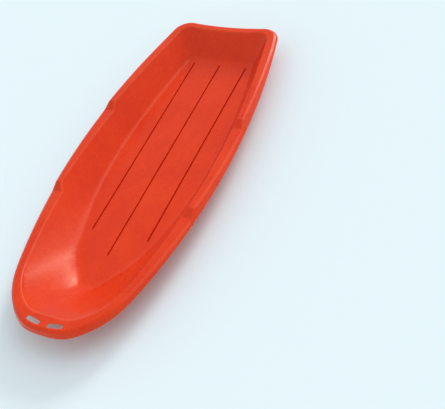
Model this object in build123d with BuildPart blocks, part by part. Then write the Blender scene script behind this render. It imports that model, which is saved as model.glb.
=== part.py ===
from build123d import *
import os

os.makedirs("parts", exist_ok=True)

# Frame: X across, +Y to the stern, the bow at -Y, +Z up, ground at z = 0.
# The sled is alike on both sides, so each outline is given by its left side.

# Sheet, and the round crease between the floor and the walls
wall = 3.0
crease_height = 7.5
crease_bands = 2

# Runner channels under the floor
groove_width = 7.0
groove_depth = 9.0
runner_spacing = 96.0
runner_stern_gap = 4.0
side_runner_bow_y = -229.0
centre_runner_bow_y = -303.0

# Floor of the tub, at its inner face: half widths and places along Y
floor_stern_half = 118.0
floor_stern_y = 509.0
floor_quarter_half = 151.0
floor_quarter_y = 300.0
floor_beam_half = 164.0
floor_beam_y = 25.0
floor_shoulder_half = 112.0
floor_shoulder_y = -264.0
floor_flank_half = 72.0
floor_flank_y = -340.0
floor_nose_half = 40.0
floor_nose_y = -386.0
floor_tip_y = -412.0
floor_hollow = 3.0

# Outer edge of the rim, at the mouth's height
rim_stern_half = 172.0
rim_stern_y = 605.0
rim_quarter_half = 217.0
rim_quarter_y = 400.0
rim_beam_half = 245.0
rim_beam_y = -90.0
rim_shoulder_half = 194.0
rim_shoulder_y = -421.0
rim_flank_half = 142.0
rim_flank_y = -533.0
rim_nose_half = 82.0
rim_nose_y = -585.0
rim_tip_y = -600.0
rim_corner = 50.0
rim_hollow = 15.0

# Width of the flange with its rounded edge
stern_flange = 9.0
corner_flange = 7.0
quarter_flange = 21.0
beam_flange = 25.0
shoulder_flange = 22.0
flank_flange = 29.0
nose_flange = 38.0
tip_flange = 46.0
tub_corner = 36.0

# Heights of the flange above the floor of the tub, and the length that is level at the stern
mouth_height = 85.0
stern_height = 73.0
stern_level = 90.0
first_crest_height = 89.0
second_crest_height = 89.0
step_height = 13.0
bow_height = 89.0
first_step_y = 180.0
second_step_y = -156.0
step_run = 26.0

# Rounded edge and turned-down skirt
edge_round = 6.0
skirt_flare = 0.4
stern_drop = 12.0
bow_drop = 21.0

# Tow slots in the bow flange
slot_length = 48.0
slot_width = 13.0
slot_spacing = 72.0
slot_inset = 21.0
slot_turn = 10.0

# Where the moulding is divided into its forms
transom_depth = 60.0
bow_gap = 14.0
foot_width = 15.0

# Which way each point of an outline moves when the outline grows
outward = [(1, 1), (1, 0), (1, 0), (1, 0), (0.87, -0.5), (0.34, -0.94), (0, -1)]

# Worked out from the sizes above
floor_z = groove_depth + wall
floor_under_z = floor_z - wall
top_height = max(first_crest_height, second_crest_height, bow_height) + wall
runner_width = groove_width + 2 * wall
runner_stern_y = floor_stern_y - foot_width - runner_stern_gap
slot_y = rim_tip_y + slot_inset
reach = rim_stern_y - rim_tip_y
stern_split = Plane((0, floor_stern_y - transom_depth, 0), x_dir=(1, 0, 0), z_dir=(0, 1, 0))
bow_split = Plane((0, second_step_y + step_run / 2 + bow_gap, 0), x_dir=(1, 0, 0), z_dir=(0, 1, 0))

floor_line = [
    (floor_stern_half, floor_stern_y),
    (floor_quarter_half, floor_quarter_y),
    (floor_beam_half, floor_beam_y),
    (floor_shoulder_half, floor_shoulder_y),
    (floor_flank_half, floor_flank_y),
    (floor_nose_half, floor_nose_y),
    (0, floor_tip_y),
]
rim_line = [
    (rim_stern_half, rim_stern_y),
    (rim_quarter_half, rim_quarter_y),
    (rim_beam_half, rim_beam_y),
    (rim_shoulder_half, rim_shoulder_y),
    (rim_flank_half, rim_flank_y),
    (rim_nose_half, rim_nose_y),
    (0, rim_tip_y),
]
flanges = [
    quarter_flange,
    beam_flange,
    shoulder_flange,
    flank_flange,
    nose_flange,
    tip_flange,
]


def grown(line, ways, amounts):
    """Moves each point of an outline outwards by its own amount"""
    points = []
    for (x, y), (east, north), amount in zip(line, ways, amounts):
        points.append((x + amount * east, y + amount * north))
    return points


# Inner edge of the flange, which keeps the flange's width inside the rim's outer edge
mouth_line = [(rim_stern_half - corner_flange, rim_stern_y - stern_flange)]
mouth_line += grown(rim_line[1:], outward[1:], [-flange for flange in flanges])


def outline(line, corner, hollow):
    """A closed outline from the points of its left side, its stern edge hollow and its corners round"""
    stern, quarter, beam, shoulder, flank, nose, tip = line
    middle_y = stern[1] - hollow
    with BuildSketch() as shape:
        with BuildLine():
            Bezier((0, middle_y), (stern[0] / 2, middle_y), stern)
            side = Spline(stern, quarter, beam, shoulder)
            Spline(shoulder, flank, nose, tip, tangents=(side % 1, (-1, 0)))
            mirror(about=Plane.YZ)
        make_face()
        corners = shape.vertices().group_by(Axis.Y)[-1].sort_by(Axis.X)
        fillet((corners[0], corners[-1]), corner)
    return shape.sketch


def tub_outline(share, grow=0.0):
    """The tub's inner outline, from its floor at share 0 to its mouth at share 1"""
    line = []
    for (low_x, low_y), (high_x, high_y) in zip(floor_line, mouth_line):
        line.append((low_x + (high_x - low_x) * share, low_y + (high_y - low_y) * share))
    hollow = floor_hollow + (rim_hollow - floor_hollow) * share
    return outline(grown(line, outward, [grow] * len(line)), tub_corner + grow, hollow)


def rim_outline(grow):
    """The outer edge of the rim, grown outwards"""
    line = grown(rim_line, outward, [grow] * len(rim_line))
    return outline(line, rim_corner + grow, rim_hollow)


def tub_block(grow=0.0, lower=0.0):
    """The tub as a solid block, to its inner face or, grown and lowered, to its outer one"""
    # The crease is a parabola, flat at the floor and in line with the wall at its top
    crease_share = crease_height / mouth_height
    with BuildPart() as block:
        for band in range(crease_bands + 1):
            turn = band / crease_bands
            with BuildSketch(Plane.XY.offset(floor_z + crease_height * turn**2 - lower)):
                add(tub_outline(crease_share * (2 * turn - 1), grow))
        with BuildSketch(Plane.XY.offset(floor_z + top_height - lower)):
            add(tub_outline(top_height / mouth_height, grow))
        loft(ruled=True)
    return block.part


def under_flange(lower=0.0):
    """Everything under the flange's stepped top line, seen from the side"""
    half_run = step_run / 2
    top = [
        (reach, stern_height),
        (rim_stern_y - stern_level, stern_height),
        (first_step_y + half_run, first_crest_height),
        (first_step_y - half_run, first_crest_height - step_height),
        (second_step_y + half_run, second_crest_height),
        (second_step_y - half_run, second_crest_height - step_height),
        (rim_tip_y, bow_height),
        (-reach, bow_height),
    ]
    line = [(y, floor_z + height - lower) for y, height in top]
    with BuildPart() as under:
        with BuildSketch(Plane.YZ):
            with BuildLine():
                Polyline(*line, (-reach, -reach), (reach, -reach), close=True)
            make_face()
        extrude(amount=reach, both=True)
    return under.part


def over_skirt():
    """Everything over the skirt's foot, seen from the side"""
    stern = (rim_stern_y, floor_z + stern_height - stern_drop)
    bow = (rim_tip_y, floor_z + bow_height - bow_drop)
    with BuildPart() as over:
        with BuildSketch(Plane.YZ):
            with BuildLine():
                foot = Line(bow, stern)
                low = foot @ 0 - (foot % 0) * reach
                high = foot @ 1 + (foot % 1) * reach
                Polyline(low, high, (high.X, reach), (low.X, reach), close=True)
            make_face()
        extrude(amount=reach, both=True)
    return over.part


def rim_block(inset, lower, bevel):
    """The rim's outside with its edge rounded off, or the hollow under it when inset and lowered"""
    with BuildPart() as block:
        for height in (0, top_height):
            with BuildSketch(Plane.XY.offset(floor_z + height)):
                add(rim_outline(skirt_flare * (mouth_height - height) - inset))
        loft(ruled=True)
        add(under_flange(lower), mode=Mode.INTERSECT)
        flange_z = floor_z + stern_height - lower - wall / 2
        top_edges = block.edges().filter_by_position(Axis.Z, flange_z, floor_z + top_height)
        chamfer(top_edges.filter_by(Axis.X, reverse=True), bevel)
    return block.part


def runner_sketch(x, bow_y, width):
    """A runner's long outline with round ends"""
    length = runner_stern_y - bow_y - (runner_width - width)
    with BuildSketch() as shape:
        with Locations((x, (runner_stern_y + bow_y) / 2)):
            SlotOverall(length, width, rotation=90)
    return shape.sketch


def runner(x, bow_y):
    """A channel pressed down out of the floor"""
    with BuildPart() as channel:
        with BuildSketch(Plane.XY):
            add(runner_sketch(x, bow_y, runner_width))
        extrude(amount=floor_z)
        with BuildSketch(Plane.XY.offset(wall)):
            add(runner_sketch(x, bow_y, groove_width))
        extrude(amount=groove_depth, mode=Mode.SUBTRACT)
    return channel.part


# The flat floor's outline, in straight lines inside the walls' foot
with BuildSketch(Plane.XY.offset(floor_under_z)) as flat_floor:
    with BuildLine():
        foot_line = grown(floor_line, outward, [-foot_width] * len(floor_line))
        Polyline((0, floor_stern_y - foot_width), *foot_line)
        mirror(about=Plane.YZ)
    make_face()

# The whole wall, as one skin between the tub's outer and inner faces
inside = tub_block()
with BuildPart() as walls:
    add(tub_block(wall / 2, wall))
    add(inside, mode=Mode.SUBTRACT)
    add(under_flange(wall), mode=Mode.INTERSECT)
    extrude(flat_floor.sketch, amount=wall, mode=Mode.SUBTRACT)

# The whole rim, a flange with its edge turned down
with BuildPart() as ring:
    add(rim_block(0, 0, edge_round))
    add(over_skirt(), mode=Mode.INTERSECT)
    add(rim_block(wall, wall, edge_round - wall / 2), mode=Mode.SUBTRACT)
    add(inside, mode=Mode.SUBTRACT)

# Runner channels
with BuildPart() as left_runner:
    add(runner(runner_spacing, side_runner_bow_y))
left_runner.part.label = "left_runner"

with BuildPart() as right_runner:
    mirror(left_runner.part, about=Plane.YZ)
right_runner.part.label = "right_runner"

with BuildPart() as centre_runner:
    add(runner(0, centre_runner_bow_y))
centre_runner.part.label = "centre_runner"

# Flat floor, open where the runners are pressed out of it
with BuildPart() as floor_pan:
    with BuildSketch(Plane.XY.offset(floor_under_z)):
        add(flat_floor.sketch)
        add(runner_sketch(runner_spacing, side_runner_bow_y, runner_width), mode=Mode.SUBTRACT)
        add(runner_sketch(-runner_spacing, side_runner_bow_y, runner_width), mode=Mode.SUBTRACT)
        add(runner_sketch(0, centre_runner_bow_y, runner_width), mode=Mode.SUBTRACT)
    extrude(amount=wall)
floor_pan.part.label = "floor_pan"

# Walls
with BuildPart() as left_side:
    add(walls.part)
    split(bisect_by=stern_split, keep=Keep.BOTTOM)
    split(bisect_by=bow_split, keep=Keep.TOP)
    split(bisect_by=Plane.YZ, keep=Keep.TOP)
left_side.part.label = "left_side"

with BuildPart() as right_side:
    mirror(left_side.part, about=Plane.YZ)
right_side.part.label = "right_side"

with BuildPart() as transom:
    add(walls.part)
    split(bisect_by=stern_split, keep=Keep.TOP)
transom.part.label = "transom"

with BuildPart() as bow:
    add(walls.part)
    split(bisect_by=bow_split, keep=Keep.BOTTOM)
bow.part.label = "bow"

# Rim
with BuildPart() as left_rim:
    add(ring.part)
    split(bisect_by=stern_split, keep=Keep.BOTTOM)
    split(bisect_by=bow_split, keep=Keep.TOP)
    split(bisect_by=Plane.YZ, keep=Keep.TOP)
left_rim.part.label = "left_rim"

with BuildPart() as right_rim:
    mirror(left_rim.part, about=Plane.YZ)
right_rim.part.label = "right_rim"

with BuildPart() as stern_rim:
    add(ring.part)
    split(bisect_by=stern_split, keep=Keep.TOP)
stern_rim.part.label = "stern_rim"

with BuildPart() as bow_rim:
    add(ring.part)
    split(bisect_by=bow_split, keep=Keep.BOTTOM)
    for side in (-1, 1):
        with BuildSketch(Plane.XY.offset(floor_z)):
            with Locations((side * slot_spacing / 2, slot_y)):
                SlotOverall(slot_length, slot_width, rotation=side * slot_turn)
        extrude(amount=reach, mode=Mode.SUBTRACT)
bow_rim.part.label = "bow_rim"

pieces = (
    floor_pan,
    left_runner,
    centre_runner,
    right_runner,
    left_side,
    right_side,
    transom,
    bow,
    left_rim,
    right_rim,
    stern_rim,
    bow_rim,
)
for piece in pieces:
    export_step(piece.part, f"parts/{piece.part.label}.step")
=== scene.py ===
import math

import bmesh
import bpy
from bpy.props import FloatProperty, FloatVectorProperty, PointerProperty
from mathutils import Color, Matrix, Vector


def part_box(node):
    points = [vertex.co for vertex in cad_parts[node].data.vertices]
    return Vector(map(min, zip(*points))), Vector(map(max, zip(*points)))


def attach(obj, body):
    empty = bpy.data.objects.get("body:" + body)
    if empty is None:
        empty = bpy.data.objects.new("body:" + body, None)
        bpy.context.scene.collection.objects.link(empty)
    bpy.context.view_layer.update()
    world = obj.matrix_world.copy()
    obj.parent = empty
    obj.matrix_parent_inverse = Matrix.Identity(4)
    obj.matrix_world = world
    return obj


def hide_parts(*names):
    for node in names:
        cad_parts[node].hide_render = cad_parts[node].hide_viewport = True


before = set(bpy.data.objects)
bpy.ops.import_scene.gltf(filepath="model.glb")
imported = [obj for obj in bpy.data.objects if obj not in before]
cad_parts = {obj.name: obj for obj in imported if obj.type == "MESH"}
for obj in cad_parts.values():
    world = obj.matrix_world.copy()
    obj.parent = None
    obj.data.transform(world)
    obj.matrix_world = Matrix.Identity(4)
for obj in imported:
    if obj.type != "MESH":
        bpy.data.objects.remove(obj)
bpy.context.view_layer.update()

bl_info = {
    "name": "Plastic toboggan finish",
    "version": (1, 0, 0),
    "blender": (4, 5, 0),
    "location": "3D View > Sidebar > Sled",
    "description": "Moulded plastic finish and studio for a toboggan",
    "category": "Object",
}

BODY = "root"
SIDES = ("left", "right")
PLASTIC = "satin_polyethylene"

# Where the moulding is divided along Y, and the height of the floor's upper face
STERN_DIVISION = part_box("transom")[0].y
BOW_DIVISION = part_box("bow")[1].y
FLOOR_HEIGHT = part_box("floor_pan")[1].z

# Folds below this height can belong to the skirt's foot, which lies higher at the bow than elsewhere
SKIRT_FOOT_REACH = 0.005
SKIRT_FOOT_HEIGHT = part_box("bow_rim")[0].z + SKIRT_FOOT_REACH

# A face counts as level when its normal's Z is above the first, and as upright when it is below the second
LEVEL = 0.9
UPRIGHT = 0.1

# Share of a runner's half width that its groove stays within
GROOVE_SHARE = 0.8

# Settings of the clean-up, the rounding and the shading of copied forms
MERGE_DISTANCE = 0.00001
PLACE_MARGIN = 0.0002
FLAT_ANGLE = math.radians(0.3)
FOLD_ANGLE = math.radians(18)
SMOOTH_ANGLE = math.radians(38)
ROUND_STEPS = 3

# Noise patterns of the plastic, with their scales in cells to the metre
CLOUDS = {"scale": 8.0, "detail": 4.0, "roughness": 0.55}
BLOTCHES = {"scale": 60.0, "detail": 4.0, "roughness": 0.6}
WAVES = {"scale": 5.0, "detail": 1.0}
GRAIN = {"scale": 1400.0, "detail": 1.0}
SCRATCHED_PATCHES = {"scale": 7.0}

# Streaks on the runners' soles: cells to the metre across, along and up, and their noise
SOLE_STRETCH = (260.0, 9.0, 1.0)
SOLE_STREAKS = {"scale": 1.0, "detail": 3.0}

# The two sets of scratches: their turn about Z, spacing, length, and the level above which one shows
SCRATCH_SETS = (
    {"turn": 0.05, "spacing": 0.0011, "length": 0.16, "threshold": 0.64},
    {"turn": 1.1, "spacing": 0.0009, "length": 0.11, "threshold": 0.66},
)

# How far above its threshold a scratch shows in full
SCRATCH_SOFTNESS = 0.06

# Levels between which each pattern rises from nothing to its full strength
CLOUD_TONES = (0.32, 0.7)
CLOUD_MATTNESS = (0.3, 0.7)
BLOTCH_TONES = (0.35, 0.7)
BLOTCH_MATTNESS = (0.3, 0.75)
PATCH_LEVELS = (0.5, 0.66)
SOLE_LEVELS = (0.4, 0.62)
EDGE_LEVELS = (0.01, 0.12)

# Heights above the ground between which the streaks on the soles fade
SOLE_HEIGHTS = (0.0002, 0.0025)

# Samples of the rounded normal by which the paler folds are found, which are partly rubbed wear and partly
# a painted highlight
EDGE_SAMPLES = 6

# Shares of the patterns in the mottled colour
CLOUD_TONE_SHARE = 0.7
BLOTCH_TONE_SHARE = 0.3

# What each pattern adds to the roughness
CLOUD_ROUGHNESS = 0.05
BLOTCH_ROUGHNESS = 0.07
SCRATCH_ROUGHNESS = 0.14
SOLE_ROUGHNESS = 0.22

# How strongly the depths of waves, grain and scratches show, which are given in metres
RELIEF_STRENGTH = 0.5
RELIEF_UNIT = 1.0

# The studio's floor, which is matt and mirrors nothing
STUDIO_WIDTH = 40
STUDIO_ROUGHNESS = 0.9
STUDIO_SHEEN = 0.0

# Inputs and the output of a colour Mix node
MIX_FACTOR = 0
MIX_FIRST = 6
MIX_SECOND = 7
MIX_COLOUR = 2


def screen(red, green, blue):
    """A colour as a screen shows it, from 0 to 255, in Blender's linear values"""
    shown = Color((red / 255, green / 255, blue / 255))
    return (*shown.from_srgb_to_scene_linear(), 1.0)


class SledColours(bpy.types.PropertyGroup):
    """Colours of the plastic and the studio"""

    plastic: FloatVectorProperty(
        name="Plastic",
        description="The moulding's own colour",
        subtype="COLOR",
        size=4,
        min=0.0,
        max=1.0,
        default=screen(228, 57, 9),
    )
    shade: FloatVectorProperty(
        name="Deeper plastic",
        description="The colour where the pigment lies thicker",
        subtype="COLOR",
        size=4,
        min=0.0,
        max=1.0,
        default=screen(218, 47, 8),
    )
    # This colour serves the real scratches and worn soles, and also the paler folds, which are partly
    # rubbed wear and partly a painted highlight
    scuff_and_highlight: FloatVectorProperty(
        name="Scuffed plastic",
        description="The colour of fine scratches, rubbed edges and worn soles",
        subtype="COLOR",
        size=4,
        min=0.0,
        max=1.0,
        default=screen(239, 132, 88),
    )
    sheen: FloatVectorProperty(
        name="Sheen",
        description="Tint of what the plastic mirrors, from which the pigment takes green and blue",
        subtype="COLOR",
        size=4,
        min=0.0,
        max=1.0,
        default=(1.0, 0.8, 0.58, 1.0),
    )
    floor: FloatVectorProperty(
        name="Studio floor",
        description="The pale floor that the sled stands on",
        subtype="COLOR",
        size=4,
        min=0.0,
        max=1.0,
        default=screen(229, 244, 249),
    )
    sky: FloatVectorProperty(
        name="Studio air",
        description="The even light all round",
        subtype="COLOR",
        size=4,
        min=0.0,
        max=1.0,
        default=screen(252, 254, 255),
    )


class SledSizes(bpy.types.PropertyGroup):
    """Sizes of the rounded edges"""

    rim_round: FloatProperty(
        name="Rim edge",
        description="How far the rounding of the rim's edges reaches",
        unit="LENGTH",
        default=0.0022,
    )
    foot_round: FloatProperty(
        name="Skirt foot",
        description="How far the rounding of the skirt's foot reaches",
        unit="LENGTH",
        default=0.0009,
    )
    lip_round: FloatProperty(
        name="Lip edge",
        description="How far the rounding of the rim's inner lip and of the tow slots reaches",
        unit="LENGTH",
        default=0.0011,
    )
    groove_round: FloatProperty(
        name="Groove edge",
        description="How far the rounding of the runner grooves' edges reaches",
        unit="LENGTH",
        default=0.001,
    )
    sole_round: FloatProperty(
        name="Runner sole",
        description="How far the rounding under a runner reaches",
        unit="LENGTH",
        default=0.0022,
    )


class SledFinish(bpy.types.PropertyGroup):
    """How glossy, how even and how worn the plastic is"""

    roughness: FloatProperty(
        name="Roughness",
        description="How matt the clean plastic is",
        subtype="FACTOR",
        min=0.0,
        max=1.0,
        default=0.22,
    )
    sheen_level: FloatProperty(
        name="Sheen level",
        description="How strongly the plastic mirrors, where 0.5 is a plain plastic",
        subtype="FACTOR",
        min=0.0,
        max=1.0,
        default=0.43,
    )
    wave_depth: FloatProperty(
        name="Wave depth",
        description="Depth of the slow waves in the moulded sheet",
        unit="LENGTH",
        default=0.0011,
    )
    grain_depth: FloatProperty(
        name="Grain depth",
        description="Depth of the fine grain of the plastic",
        unit="LENGTH",
        default=0.000012,
    )
    scratch_depth: FloatProperty(
        name="Scratch depth",
        description="Depth of the fine scratches",
        unit="LENGTH",
        default=0.00003,
    )
    # The paler folds set here are partly rubbed wear and partly a painted highlight along the rim's edges,
    # its lip and the crease by the floor
    edge_width: FloatProperty(
        name="Edge width",
        description="How far the paler, rubbed plastic reaches from a fold",
        unit="LENGTH",
        default=0.0035,
    )
    edge_wear_and_highlight: FloatProperty(
        name="Edge paleness",
        description="How pale the rubbed plastic is along the folds",
        subtype="FACTOR",
        min=0.0,
        max=1.0,
        default=0.3,
    )
    scratch_paleness: FloatProperty(
        name="Scratch paleness",
        description="How pale the fine scratches are",
        subtype="FACTOR",
        min=0.0,
        max=1.0,
        default=0.16,
    )
    sole_paleness: FloatProperty(
        name="Sole paleness",
        description="How pale the streaks on the runners' soles are",
        subtype="FACTOR",
        min=0.0,
        max=1.0,
        default=0.55,
    )


class SledStage(bpy.types.PropertyGroup):
    """The camera's place and the studio's lamps"""

    azimuth: FloatProperty(
        name="Azimuth",
        description="The camera's turn about the sled, from the bow towards the left side",
        subtype="ANGLE",
        default=math.radians(41.9),
    )
    elevation: FloatProperty(
        name="Elevation",
        description="The camera's height as an angle above the floor",
        subtype="ANGLE",
        default=math.radians(48.0),
    )
    roll: FloatProperty(
        name="Roll",
        description="How far the camera is rolled about its view",
        subtype="ANGLE",
        default=math.radians(-22.7),
    )
    distance: FloatProperty(
        name="Distance",
        description="From the aim to the camera",
        unit="LENGTH",
        default=2.2459,
    )
    aim: FloatVectorProperty(
        name="Aim",
        description="The point at the middle of the view",
        subtype="XYZ",
        unit="LENGTH",
        default=(0.3016, -0.102, 0.084),
    )
    lens: FloatProperty(
        name="Lens",
        description="Focal length of the lens",
        unit="CAMERA",
        default=66.9,
    )
    air_level: FloatProperty(
        name="Even light",
        description="Strength of the light all round",
        default=0.735,
    )
    key_place: FloatVectorProperty(
        name="Key place",
        description="Where the key light stands",
        subtype="XYZ",
        unit="LENGTH",
        default=(0.43, 2.6, 1.4),
    )
    key_level: FloatProperty(
        name="Key light",
        description="Strength of the soft light behind the stern, which gives the bow its sheen",
        default=1.1,
    )
    key_spread: FloatProperty(
        name="Key spread",
        description="Width of the key light, which softens its shadow and its sheen",
        subtype="ANGLE",
        default=math.radians(16),
    )
    side_place: FloatVectorProperty(
        name="Side place",
        description="Where the side light stands",
        subtype="XYZ",
        unit="LENGTH",
        default=(1.1, 1.3, 2.4),
    )
    side_level: FloatProperty(
        name="Side light",
        description="Strength of the soft light from above and behind",
        default=0.54,
    )
    side_spread: FloatProperty(
        name="Side spread",
        description="Width of the side light, which softens its shadow",
        subtype="ANGLE",
        default=math.radians(45),
    )


class Value:
    """A socket of a material, which takes part in a sum as a number does"""

    def __init__(self, tree, socket=None):
        self.tree = tree
        self.socket = socket

    def feed(self, socket, value):
        """Gives an input a link or a plain value"""
        if isinstance(value, Value):
            self.tree.links.new(value.socket, socket)
        else:
            socket.default_value = value

    def node(self, kind, settings=None, inputs=None, output=0):
        """A new node of one type, with its settings and its inputs' links or values"""
        made = self.tree.nodes.new(kind)
        for name, setting in (settings or {}).items():
            setattr(made, name, setting)
        for name, value in (inputs or {}).items():
            self.feed(made.inputs[name], value)
        return Value(self.tree, made.outputs[output])

    def maths(self, operation, first, second=0.0):
        """A sum of one or two numbers"""
        return self.node("ShaderNodeMath", {"operation": operation}, {0: first, 1: second})

    def __add__(self, other):
        return self.maths("ADD", self, other)

    def __radd__(self, other):
        return self.maths("ADD", other, self)

    def __sub__(self, other):
        return self.maths("SUBTRACT", self, other)

    def __rsub__(self, other):
        return self.maths("SUBTRACT", other, self)

    def __mul__(self, other):
        return self.maths("MULTIPLY", self, other)

    def __rmul__(self, other):
        return self.maths("MULTIPLY", other, self)

    def ramp(self, low, high):
        """0 below the low value, 1 above the high one, and a smooth rise between"""
        inputs = {"Value": self, "From Min": low, "From Max": high}
        return self.node("ShaderNodeMapRange", {"interpolation_type": "SMOOTHSTEP"}, inputs)

    def axis(self, name):
        """A place's coordinate along X, Y or Z"""
        return self.node("ShaderNodeSeparateXYZ", {}, {"Vector": self}, name)

    def turned(self, angle):
        """Coordinates turned about Z"""
        settings = {"rotation_type": "Z_AXIS"}
        return self.node("ShaderNodeVectorRotate", settings, {"Vector": self, "Angle": angle})

    def stretched(self, scale):
        """Coordinates multiplied along each axis"""
        return self.node("ShaderNodeVectorMath", {"operation": "MULTIPLY"}, {0: self, 1: scale})

    def noise(self, scale, detail=2.0, roughness=0.5):
        """Noise at these coordinates, from about 0 to 1"""
        inputs = {"Vector": self, "Scale": scale, "Detail": detail, "Roughness": roughness}
        return self.node("ShaderNodeTexNoise", {}, inputs, "Fac")

    def blend(self, factor, first, second):
        """One colour turning into another as the factor rises"""
        inputs = {MIX_FACTOR: factor, MIX_FIRST: first, MIX_SECOND: second}
        return self.node("ShaderNodeMix", {"data_type": "RGBA"}, inputs, MIX_COLOUR)


def scratches(place, turn, spacing, length, threshold):
    """Fine parallel scratches, in patches"""
    along = place.turned(turn)
    streaks = along.stretched((1 / spacing, 1 / length, 1 / spacing)).noise(scale=1.0)
    patches = along.noise(**SCRATCHED_PATCHES)
    return streaks.ramp(threshold, threshold + SCRATCH_SOFTNESS) * patches.ramp(*PATCH_LEVELS)


def scuffed_soles(place):
    """Streaks along the runners' soles, where they are dragged over the ground"""
    near_ground = 1 - place.axis("Z").ramp(*SOLE_HEIGHTS)
    return near_ground * place.stretched(SOLE_STRETCH).noise(**SOLE_STREAKS).ramp(*SOLE_LEVELS)


def rubbed_and_highlit_edges(place, width):
    """1 along the folds above the floor, where the plastic is painted paler, partly as rubbed wear and
    partly as a painted highlight, and 0 near the divisions
    """
    rounded = place.node("ShaderNodeBevel", {"samples": EDGE_SAMPLES}, {"Radius": width}, "Normal")
    facing = place.node("ShaderNodeNewGeometry", {}, {}, "Normal")
    normals = {0: rounded, 1: facing}
    agreement = place.node("ShaderNodeVectorMath", {"operation": "DOT_PRODUCT"}, normals, "Value")
    above_floor = place.axis("Z").ramp(FLOOR_HEIGHT, FLOOR_HEIGHT + width)
    rubbed = (1 - agreement).ramp(*EDGE_LEVELS) * above_floor
    for division in (STERN_DIVISION, BOW_DIVISION):
        distance = place.maths("ABSOLUTE", place.axis("Y") - division)
        rubbed = rubbed * distance.ramp(width, width * 2)
    return rubbed


def moulded_plastic():
    """Satin polyethylene, with slow waves, fine grain, faint mottling, scratches and worn soles, and paler
    folds that are partly rubbed wear and partly a painted highlight
    """
    found = bpy.data.materials.get(PLASTIC)
    if found:
        return found
    colours = bpy.context.scene.sled_colours
    finish = bpy.context.scene.sled_finish
    material = bpy.data.materials.new(PLASTIC)
    material.use_nodes = True
    shader = material.node_tree.nodes["Principled BSDF"]
    place = Value(material.node_tree).node("ShaderNodeTexCoord", output="Object")

    clouds = place.noise(**CLOUDS)
    blotches = place.noise(**BLOTCHES)
    along, across = (scratches(place, **settings) for settings in SCRATCH_SETS)
    marks = place.maths("MAXIMUM", along, across)
    soles = scuffed_soles(place)
    # Paler folds: partly rubbed wear, partly a painted highlight on the rim's edges and lip and on the
    # crease by the floor
    edges = rubbed_and_highlit_edges(place, finish.edge_width)

    mottle = clouds.ramp(*CLOUD_TONES) * CLOUD_TONE_SHARE + blotches.ramp(*BLOTCH_TONES) * BLOTCH_TONE_SHARE
    tone = place.blend(mottle, tuple(colours.shade), tuple(colours.plastic))
    # The pale blend adds real scratches and worn soles, and along the folds a painted highlight mixed with
    # rubbed wear
    wear_and_highlight = marks * finish.scratch_paleness + soles * finish.sole_paleness + edges * finish.edge_wear_and_highlight
    place.feed(shader.inputs["Base Color"], place.blend(wear_and_highlight, tone, tuple(colours.scuff_and_highlight)))

    roughness = finish.roughness + blotches.ramp(*BLOTCH_MATTNESS) * BLOTCH_ROUGHNESS
    roughness = roughness + clouds.ramp(*CLOUD_MATTNESS) * CLOUD_ROUGHNESS
    roughness = roughness + marks * SCRATCH_ROUGHNESS + soles * SOLE_ROUGHNESS
    place.feed(shader.inputs["Roughness"], roughness)
    shader.inputs["Specular IOR Level"].default_value = finish.sheen_level
    shader.inputs["Specular Tint"].default_value = tuple(colours.sheen)

    relief = place.noise(**WAVES) * finish.wave_depth + place.noise(**GRAIN) * finish.grain_depth
    relief = relief - marks * finish.scratch_depth
    inputs = {"Height": relief, "Distance": RELIEF_UNIT, "Strength": RELIEF_STRENGTH}
    place.feed(shader.inputs["Normal"], place.node("ShaderNodeBump", {}, inputs, "Normal"))
    return material


def select_only(piece):
    """Makes one object the selected and active one"""
    bpy.ops.object.select_all(action="DESELECT")
    piece.select_set(True)
    bpy.context.view_layer.objects.active = piece


def copied_form(node, name):
    """A copy of one form of the moulding without its notes, its triangles merged, left in edit mode"""
    select_only(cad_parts[node])
    bpy.ops.object.duplicate()
    piece = bpy.context.object
    piece.name = name
    piece.data.name = name
    piece.parent = None
    for key in list(piece.keys()):
        del piece[key]
    bpy.ops.mesh.customdata_custom_splitnormals_clear()
    bpy.ops.object.mode_set(mode="EDIT")
    bpy.ops.mesh.select_mode(type="EDGE")
    bpy.ops.mesh.select_all(action="SELECT")
    bpy.ops.mesh.remove_doubles(threshold=MERGE_DISTANCE)
    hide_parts(node)
    return piece


def flatten():
    """Joins the triangles that lie in one plane, in the piece that is being edited"""
    bpy.ops.mesh.select_all(action="SELECT")
    bpy.ops.mesh.dissolve_limited(angle_limit=FLAT_ANGLE)


def open_ends(piece, *divisions):
    """Takes away the end faces that meet the next form, so that no edge there is rounded"""
    bpy.ops.mesh.select_all(action="DESELECT")
    bpy.ops.mesh.select_mode(type="FACE")
    mesh = bmesh.from_edit_mesh(piece.data)
    for face in mesh.faces:
        on_division = any(all(abs(v.co.y - y) < PLACE_MARGIN for v in face.verts) for y in divisions)
        face.select_set(on_division)
    bmesh.update_edit_mesh(piece.data)
    bpy.ops.mesh.delete(type="ONLY_FACE")
    bpy.ops.mesh.select_mode(type="EDGE")


def close_ends():
    """Closes the ends of the piece that is being edited"""
    bpy.ops.mesh.select_all(action="SELECT")
    bpy.ops.mesh.fill_holes(sides=0)


def round_edges(piece, wanted, reach):
    """Rounds the folds whose middle and two face normals pass the test"""
    bpy.ops.mesh.select_all(action="DESELECT")
    mesh = bmesh.from_edit_mesh(piece.data)
    mesh.normal_update()
    for edge in mesh.edges:
        if len(edge.link_faces) == 2:
            first, second = (face.normal for face in edge.link_faces)
            middle = (edge.verts[0].co + edge.verts[1].co) / 2
            if first.angle(second, 0.0) > FOLD_ANGLE and wanted(middle, first, second):
                edge.select_set(True)
    bmesh.update_edit_mesh(piece.data)
    bpy.ops.mesh.bevel(
        offset=reach,
        offset_type="OFFSET",
        segments=ROUND_STEPS,
        affect="EDGES",
        clamp_overlap=False,
    )


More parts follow.
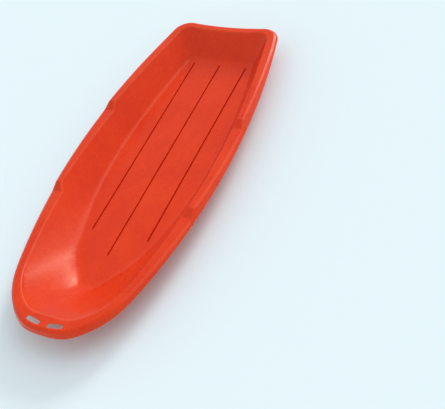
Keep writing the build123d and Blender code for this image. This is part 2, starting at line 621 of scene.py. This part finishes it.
def finish_piece(piece):
    """Leaves edit mode, smooths the shading, and gives the piece its plastic and its place in the frame"""
    bpy.ops.mesh.select_all(action="SELECT")
    bpy.ops.mesh.normals_make_consistent(inside=False)
    bpy.ops.object.mode_set(mode="OBJECT")
    select_only(piece)
    bpy.ops.object.shade_smooth_by_angle(angle=SMOOTH_ANGLE, keep_sharp_edges=False)
    bpy.ops.object.modifier_add(type="WEIGHTED_NORMAL")
    even = piece.modifiers[-1]
    even.keep_sharp = True
    bpy.ops.object.modifier_apply(modifier=even.name)
    piece.data.materials.clear()
    piece.data.materials.append(moulded_plastic())
    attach(piece, BODY)


def faces_up(middle, first, second):
    """Whether both faces of a fold look more or less up"""
    return min(first.z, second.z) > UPRIGHT


def at_lip(middle, first, second):
    """Whether a fold lies between a level upper face and an upright one"""
    return max(first.z, second.z) > LEVEL and abs(min(first.z, second.z)) < UPRIGHT


def at_skirt_foot(middle, first, second):
    """Whether a fold lies on the level underside of the skirt's foot"""
    return middle.z < SKIRT_FOOT_HEIGHT and min(first.z, second.z) < -LEVEL


def shape_rim(node, name, *divisions):
    """A stretch of the rim with its edges rounded"""
    sizes = bpy.context.scene.sled_sizes
    piece = copied_form(node, name)
    flatten()
    open_ends(piece, *divisions)
    round_edges(piece, faces_up, sizes.rim_round)
    round_edges(piece, at_lip, sizes.lip_round)
    round_edges(piece, at_skirt_foot, sizes.foot_round)
    close_ends()
    finish_piece(piece)


class Runner:
    """Where one runner lies, and which of its points and folds belong to its groove and its sole"""

    def __init__(self, node):
        self.low, self.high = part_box(node)
        self.half_width = (self.high.x - self.low.x) / 2
        self.middle_x = (self.high.x + self.low.x) / 2

    def in_groove(self, point):
        """Whether a point above the sole lies within the groove's reach of the runner's middle line"""
        y = min(max(point.y, self.low.y + self.half_width), self.high.y - self.half_width)
        from_spine = math.hypot(point.x - self.middle_x, point.y - y)
        return point.z > PLACE_MARGIN and from_spine < self.half_width * GROOVE_SHARE

    def at_mouth(self, middle, first, second):
        """Whether a fold runs round the groove's mouth"""
        return middle.z > FLOOR_HEIGHT - PLACE_MARGIN and self.in_groove(middle)

    def at_sole(self, middle, first, second):
        """Whether a fold runs round the runner's sole"""
        return middle.z < PLACE_MARGIN

    def narrow_groove(self, piece, reach):
        """Draws the groove's walls in, so that its rounded mouth is as wide as it was cut"""
        bpy.ops.mesh.select_all(action="DESELECT")
        bpy.ops.mesh.select_mode(type="VERT")
        mesh = bmesh.from_edit_mesh(piece.data)
        groove = [vertex for vertex in mesh.verts if self.in_groove(vertex.co)]
        for vertex in groove:
            vertex.select_set(True)
        bmesh.update_edit_mesh(piece.data)
        groove_half = max(abs(vertex.co.x - self.middle_x) for vertex in groove)
        share = (groove_half - reach) / groove_half
        bpy.ops.transform.resize(value=(share, 1, 1), center_override=(self.middle_x, 0, 0))
        bpy.ops.mesh.select_mode(type="EDGE")


class SLED_OT_floor(bpy.types.Operator):
    """Finishes the flat floor between the runners"""
    bl_idname = "sled.floor"
    bl_label = "Finish the floor"

    def execute(self, context):
        finish_piece(copied_form("floor_pan", "floor_sheet"))
        return {"FINISHED"}


class SLED_OT_walls(bpy.types.Operator):
    """Finishes the two side walls"""
    bl_idname = "sled.walls"
    bl_label = "Finish the side walls"

    def execute(self, context):
        for side in SIDES:
            finish_piece(copied_form(f"{side}_side", f"{side}_wall"))
        return {"FINISHED"}


class SLED_OT_transom(bpy.types.Operator):
    """Finishes the stern's wall with its two corners"""
    bl_idname = "sled.transom"
    bl_label = "Finish the transom"

    def execute(self, context):
        finish_piece(copied_form("transom", "stern_wall"))
        return {"FINISHED"}


class SLED_OT_bow(bpy.types.Operator):
    """Finishes the upswept bowl of the bow"""
    bl_idname = "sled.bow"
    bl_label = "Finish the bow"

    def execute(self, context):
        finish_piece(copied_form("bow", "bow_bowl"))
        return {"FINISHED"}


class SLED_OT_rims(bpy.types.Operator):
    """Rounds the flange and skirt along the two sides and round the stern and the bow"""
    bl_idname = "sled.rims"
    bl_label = "Round the rim"

    def execute(self, context):
        for side in SIDES:
            shape_rim(f"{side}_rim", f"{side}_flange", STERN_DIVISION, BOW_DIVISION)
        shape_rim("stern_rim", "stern_flange", STERN_DIVISION)
        shape_rim("bow_rim", "bow_flange", BOW_DIVISION)
        return {"FINISHED"}


class SLED_OT_runners(bpy.types.Operator):
    """Rounds the grooves and soles of the three runners"""
    bl_idname = "sled.runners"
    bl_label = "Round the runners"

    def execute(self, context):
        sizes = context.scene.sled_sizes
        for place in (*SIDES, "centre"):
            node = f"{place}_runner"
            runner = Runner(node)
            piece = copied_form(node, f"{place}_groove")
            flatten()
            runner.narrow_groove(piece, sizes.groove_round)
            round_edges(piece, runner.at_mouth, sizes.groove_round)
            round_edges(piece, runner.at_sole, sizes.sole_round)
            finish_piece(piece)
        return {"FINISHED"}


class SLED_OT_stage(bpy.types.Operator):
    """Sets the floor, the light and the camera"""
    bl_idname = "sled.stage"
    bl_label = "Set the stage"

    def execute(self, context):
        stage = context.scene.sled_stage
        self.add_floor(context.scene.sled_colours.floor)
        self.fill_air(context.scene, context.scene.sled_colours.sky, stage.air_level)
        self.add_sun("key_light", stage.key_place, stage.key_level, stage.key_spread)
        self.add_sun("side_light", stage.side_place, stage.side_level, stage.side_spread)
        self.add_camera(context.scene, stage)
        context.scene.view_settings.view_transform = "Standard"
        return {"FINISHED"}

    def add_floor(self, colour):
        """Lays a wide, matt floor under the sled"""
        bpy.ops.object.select_all(action="DESELECT")
        bpy.ops.mesh.primitive_plane_add(size=STUDIO_WIDTH)
        floor = bpy.context.object
        floor.name = "studio_floor"
        material = bpy.data.materials.new("pale_floor")
        material.use_nodes = True
        shader = material.node_tree.nodes["Principled BSDF"]
        shader.inputs["Base Color"].default_value = tuple(colour)
        shader.inputs["Roughness"].default_value = STUDIO_ROUGHNESS
        shader.inputs["Specular IOR Level"].default_value = STUDIO_SHEEN
        floor.data.materials.append(material)

    def fill_air(self, scene, colour, level):
        """Gives the scene an even light from all round"""
        world = bpy.data.worlds.new("studio")
        world.use_nodes = True
        air = world.node_tree.nodes["Background"]
        air.inputs["Color"].default_value = tuple(colour)
        air.inputs["Strength"].default_value = level
        scene.world = world

    def add_sun(self, name, place, level, spread):
        """A wide sun lamp that shines from its place at the middle of the sled"""
        bpy.ops.object.light_add(type="SUN", location=tuple(place))
        lamp = bpy.context.object
        lamp.name = name
        lamp.data.energy = level
        lamp.data.angle = spread
        lamp.rotation_mode = "QUATERNION"
        lamp.rotation_quaternion = lamp.location.to_track_quat("Z", "Y")

    def add_camera(self, scene, stage):
        """Puts the camera where the photograph was taken from"""
        reach = math.cos(stage.elevation)
        back = Vector((math.sin(stage.azimuth) * reach, -math.cos(stage.azimuth) * reach, 0))
        back.z = math.sin(stage.elevation)
        right = (-back).cross(Vector((0, 0, 1))).normalized()
        up = right.cross(-back)
        across = math.cos(stage.roll) * right + math.sin(stage.roll) * up
        above = math.cos(stage.roll) * up - math.sin(stage.roll) * right
        turn = Matrix((across, above, back)).transposed().to_4x4()
        bpy.ops.object.camera_add()
        camera = bpy.context.object
        camera.matrix_world = Matrix.Translation(Vector(stage.aim) + back * stage.distance) @ turn
        camera.data.lens = stage.lens
        scene.camera = camera


class SLED_PT_panel(bpy.types.Panel):
    """Lists the pieces, the stage and what they are set by"""
    bl_idname = "SLED_PT_panel"
    bl_label = "Sled"
    bl_space_type = "VIEW_3D"
    bl_region_type = "UI"
    bl_category = "Sled"

    def draw(self, context):
        for operator in OPERATORS:
            self.layout.operator(operator.bl_idname)
        for group in GROUPS:
            settings = getattr(context.scene, group)
            box = self.layout.box()
            for name in settings.__annotations__:
                box.prop(settings, name)


GROUPS = {
    "sled_colours": SledColours,
    "sled_sizes": SledSizes,
    "sled_finish": SledFinish,
    "sled_stage": SledStage,
}
OPERATORS = (
    SLED_OT_floor,
    SLED_OT_walls,
    SLED_OT_transom,
    SLED_OT_bow,
    SLED_OT_rims,
    SLED_OT_runners,
    SLED_OT_stage,
)


def register():
    """Registers the classes and hangs the settings on the scene"""
    for cls in (*GROUPS.values(), *OPERATORS, SLED_PT_panel):
        bpy.utils.register_class(cls)
    for name, group in GROUPS.items():
        setattr(bpy.types.Scene, name, PointerProperty(type=group))


def unregister():
    """Takes away what register added"""
    for name in GROUPS:
        delattr(bpy.types.Scene, name)
    for cls in (SLED_PT_panel, *reversed(OPERATORS), *GROUPS.values()):
        bpy.utils.unregister_class(cls)


def main():
    """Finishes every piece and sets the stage"""
    register()
    bpy.ops.sled.floor()
    bpy.ops.sled.walls()
    bpy.ops.sled.transom()
    bpy.ops.sled.bow()
    bpy.ops.sled.rims()
    bpy.ops.sled.runners()
    bpy.ops.sled.stage()


if __name__ == "__main__":
    main()
